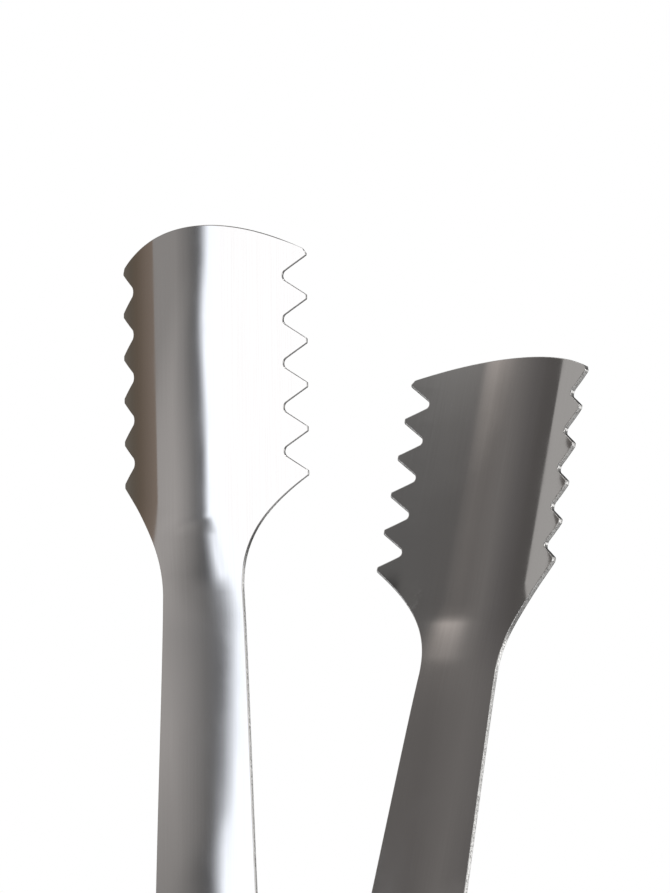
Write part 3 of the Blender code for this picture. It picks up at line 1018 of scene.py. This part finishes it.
def addFloor():
    mesh = bpy.data.meshes.new("floor")
    radius, sides = studio["floorRadius"], studio["floorSides"]
    ring = [2 * math.pi * i / sides for i in range(sides)]
    points = [(radius * math.cos(angle), radius * math.sin(angle), 0) for angle in ring]
    mesh.from_pydata(points, [], [tuple(range(sides))])
    floor = addObject("floor", mesh)
    material, _, shader = newMaterial("pale floor", 0)
    shader.inputs["Base Color"].default_value = studio["floorColour"]
    shader.inputs["Roughness"].default_value = studio["floorRoughness"]
    shader.inputs["Specular IOR Level"].default_value = 0
    mesh.materials.append(material)


def addLamp():
    lamp = bpy.data.lights.new("soft_lamp", "AREA")
    lamp.shape = "DISK"
    lamp.size = studio["lampSize"]
    lamp.energy = studio["lampPower"]
    stand = addObject("soft_lamp", lamp)
    stand.location = studio["lampPlace"]
    sight = Vector(studio["lampAim"]) - Vector(studio["lampPlace"])
    stand.rotation_euler = sight.to_track_quat("-Z", "Y").to_euler()
    stand.visible_camera = False


addWorld()
addFloor()
addLamp()
print("room lit")


def grey(level):
    return (level, level, level)


# Painted reflections: glowing sheets round the tongs, one under them and one overhead, that only
# reflections in the steel see; they light nothing and cast no shadow. Tones go by direction in
# degrees.
# The side sheet is a painted reflection: warm at its far end, then grey, then painted bright light
# past an edge that wanders with height.
sideReflection = {
    "distance": 0.449,
    "lean": (20, 0.15),  # degrees that a metre down shifts it by, from this height
    "columns": (24, 80),
    "seam": 0.4,  # degrees from the warm end to the grey
    "end": 158,
    # painted warm brown reflection at the far end
    "warm": [
        (57, (0.1, 0.094, 0.083)),
        (84, (0.169, 0.158, 0.139)),
        (97, (0.133, 0.112, 0.09)),
        (103, (0.145, 0.114, 0.088)),
        (117.4, (0.245, 0.197, 0.166)),
    ],
    "grey": [  # by degrees from the bright edge
        (-20, (1, 0.962, 0.945)),
        (-13, (0.72, 0.698, 0.695)),
        (-8.5, (0.47, 0.464, 0.469)),
        (-5, (0.43, 0.436, 0.462)),
    ],
    # painted bright light, seen only in reflections, past the edge
    "bright": (1.42, 1.5, 1.64),
    # height, strength of the grey, the bright edge, degrees over which it fades in, and how late
    "rows": [
        (0, 0.3, 148.2, 5.5, 2),
        (0.057, 0.3, 148.2, 5.5, 2),
        (0.067, 0.325, 152, 10.5, 2.4),
        (0.08, 0.36, 151.8, 9, 3),
        (0.092, 0.42, 151.5, 5.5, 2.5),
        (0.1, 0.43, 151.2, 5.5, 2.5),
        (0.107, 0.43, 149.2, 4.5, 2),
        (0.122, 0.45, 150.2, 4.5, 2),
        (0.1365, 0.45, 150.5, 4.5, 2),
        (0.152, 0.43, 149.6, 5, 2),
        (0.16, 0.42, 149.3, 6, 2),
        (0.166, 0.4, 150, 6, 2),
        (0.172, 0.37, 152.5, 6, 2),
        (0.18, 0.32, 153, 6, 2),
        (0.26, 0.33, 153, 6, 2),
    ],
}

# Heights are from bottom to top, each with its share of the head tones over the others.
cards = {
    # painted bright reflection of a softbox, low down, from the side sheet's bright edge on
    "painted_softbox_reflection": {
        "distance": 0.45,
        "heights": [(0, 0), (0.215, 0)],
        "tones": [
            (150.5, (1.42, 1.43, 1.46)),
            (202, (1.42, 1.43, 1.46)),
            (212, grey(0.7)),
            (226, grey(0.4)),
            (242, grey(0.35)),
        ],
    },
    # painted dark reflection high over the side sheet, paler at its top
    "painted_upper_reflection": {
        "distance": 0.62,
        "heights": [(0.19, 0), (0.4, 0.05), (0.5, 0.12), (0.53, 0.38), (0.55, 1), (1.1, 1)],
        "tones": [
            (57, (0.43, 0.42, 0.413)),
            (102, (0.43, 0.42, 0.413)),
            (102.4, (0.1, 0.095, 0.093)),
            (112, (0.102, 0.096, 0.094)),
            (122, (0.132, 0.125, 0.124)),
            (134, (0.178, 0.169, 0.165)),
            (144, (0.122, 0.116, 0.114)),
            (190, (0.119, 0.117, 0.116)),
            (242, grey(0.14)),
        ],
        # from 142 to 156 degrees these paint the highlight on the right arm's neck
        "headTones": [
            (57, (0.65, 0.638, 0.628)),
            (102, (0.65, 0.638, 0.628)),
            (102.4, (0.15, 0.142, 0.14)),
            (122, (0.2, 0.19, 0.188)),
            (134, (0.3, 0.282, 0.275)),
            (142, (0.6, 0.555, 0.53)),
            (151, (0.7, 0.645, 0.61)),
            (156, (0.52, 0.485, 0.465)),
            (160, (0.27, 0.262, 0.258)),
            (190, (0.25, 0.246, 0.244)),
            (242, grey(0.25)),
        ],
    },
    # painted reflection: bright between dark ends, its bright part narrower at the top
    "painted_front_reflection": {
        "distance": 0.6,
        "heights": [(0, 0), (0.24, 0), (0.29, 1), (0.4, 1)],
        "tones": [(242, grey(0.35)), (252, grey(1.15)), (332, grey(1.15)), (340, grey(0.25))],
        "headTones": [
            (242, grey(0.35)),
            (252, grey(1.15)),
            (274, grey(1.15)),
            (290, grey(0.3)),
            (340, grey(0.25)),
        ],
    },
    # painted dark reflection, high up
    "painted_high_front_reflection": {
        "distance": 0.62,
        "heights": [(0.3, 0), (1.4, 0)],
        "tones": [(270, grey(0.16)), (300, grey(0.2)), (345, grey(0.18)), (382, grey(0.1))],
    },
    # near black painted reflection
    "painted_dark_edge_reflection": {
        "distance": 0.42,
        "heights": [(0, 0), (1, 0)],
        "tones": [(-25, grey(0.05)), (22, grey(0.05)), (57, (0.08, 0.07, 0.06))],
    },
}

# Rings of (radius, tone), with painted stripes by direction: a painted reflection of a darker floor
# under the tongs, paler near their foot, and a plain grey painted reflection overhead.
discs = {
    # painted reflection of a darker floor, lying just above the real one
    "painted_floor_reflection": {
        "height": 0.0004,
        "rings": [(0.01, 0.62), (0.06, 0.56), (0.12, 0.4), (0.2, 0.22), (0.44, 0.12)],
        "paintedStripes": 5,
        "depth": 0.35,
    },
    "painted_overhead_reflection": {"height": 1.1, "rings": [(0.01, 0.25), (0.62, 0.25)], "paintedStripes": 0, "depth": 0},
}


# the painted reflections glow in their own tone
def cardMaterial():
    material = bpy.data.materials.new("painted reflection card")
    material.use_nodes = True
    tree = material.node_tree
    tree.nodes.remove(tree.nodes["Principled BSDF"])
    tone = addNode(tree, "ShaderNodeAttribute", (0, 0), {"attribute_name": "tone"})
    glow = addNode(tree, "ShaderNodeEmission", (200, 0))
    tree.links.new(tone.outputs["Color"], glow.inputs["Color"])
    tree.links.new(glow.outputs[0], tree.nodes["Material Output"].inputs["Surface"])
    return material


def hangCard(name, points, faces, colours, material):
    # seen in reflections only: a painted reflection, glowing in its tone, that lights nothing and
    # casts no shadow
    mesh = bpy.data.meshes.new(name)
    mesh.from_pydata(points, [], faces)
    tone = mesh.attributes.new("tone", "FLOAT_COLOR", "POINT")
    tone.data.foreach_set("color", colours)
    mesh.materials.append(material)
    hung = addObject(name, mesh)
    hung.visible_camera = False
    hung.visible_diffuse = False
    hung.visible_shadow = False


def hangWall(name, card, turns, rows, toneOf, material):
    points, faces, colours = [], [], []
    distance, count = card["distance"], len(rows)
    lean, level = card.get("lean", (0, 0))
    for turn in turns:
        for row in rows:
            angle = math.radians(turn + lean * (level - row[0]))
            points.append((distance * math.cos(angle), distance * math.sin(angle), row[0]))
            colours += toneOf(turn, row) + [1]
    for column in range(0, len(points) - count, count):
        for low in range(column, column + count - 1):
            faces.append((low, low + 1, low + count + 1, low + count))
    hangCard(name, points, faces, colours, material)


def toneAt(stops, turn):
    turns = [stop for stop, _ in stops]
    return [float(np.interp(turn, turns, [colour[i] for _, colour in stops])) for i in range(3)]


def addPanel(panel, material):
    warmStart, warmEnd, end = panel["warm"][0][0], panel["warm"][-1][0], panel["end"]
    warmColumns, greyColumns = panel["columns"]
    turns = steps(warmStart, warmEnd, warmColumns) + [warmEnd]
    turns += steps(warmEnd + panel["seam"], end, greyColumns) + [end]

    def toneOf(turn, row):
        _, strength, edge, fade, power = row
        if turn <= warmEnd:
            return toneAt(panel["warm"], turn)
        share = min(max((turn - edge + fade) / fade, 0), 1) ** power
        dull = toneAt(panel["grey"], turn - edge)
        return [mix(strength * a, b, share) for a, b in zip(dull, panel["bright"])]

    hangWall("painted_side_reflection", panel, turns, panel["rows"], toneOf, material)


def addCard(name, card, material):
    columnTurn = 3  # degrees
    heads = card.get("headTones", card["tones"])
    stops = sorted({stop for stop, _ in card["tones"] + heads})
    turns = []
    for start, end in zip(stops, stops[1:]):
        turns += steps(start, end, max(1, round((end - start) / columnTurn)))

    def toneOf(turn, row):
        foot, head = toneAt(card["tones"], turn), toneAt(heads, turn)
        return [mix(a, b, row[1]) for a, b in zip(foot, head)]

    hangWall(name, card, turns + [stops[-1]], card["heights"], toneOf, material)


def addDisc(name, disc, material):
    points, faces, colours = [], [], []
    around = 72
    for radius, tone in disc["rings"]:
        for i in range(around):
            angle = 2 * math.pi * i / around
            points.append((radius * math.cos(angle), radius * math.sin(angle), disc["height"]))
            # painted stripes of lighter and darker reflection, by direction
            shade = tone * (1 + disc["depth"] * math.cos(disc["paintedStripes"] * angle))
            colours += [shade, shade, shade, 1]
    for row in range(len(disc["rings"]) - 1):
        for i in range(around):
            j = (i + 1) % around
            low, high = row * around, (row + 1) * around
            faces.append((low + i, high + i, high + j, low + j))
    hangCard(name, points, faces, colours, material)


cardGlow = cardMaterial()
addPanel(sideReflection, cardGlow)
for cardName, card in cards.items():
    addCard(cardName, card, cardGlow)
for discName, disc in discs.items():
    addDisc(discName, disc, cardGlow)
print("stage set")
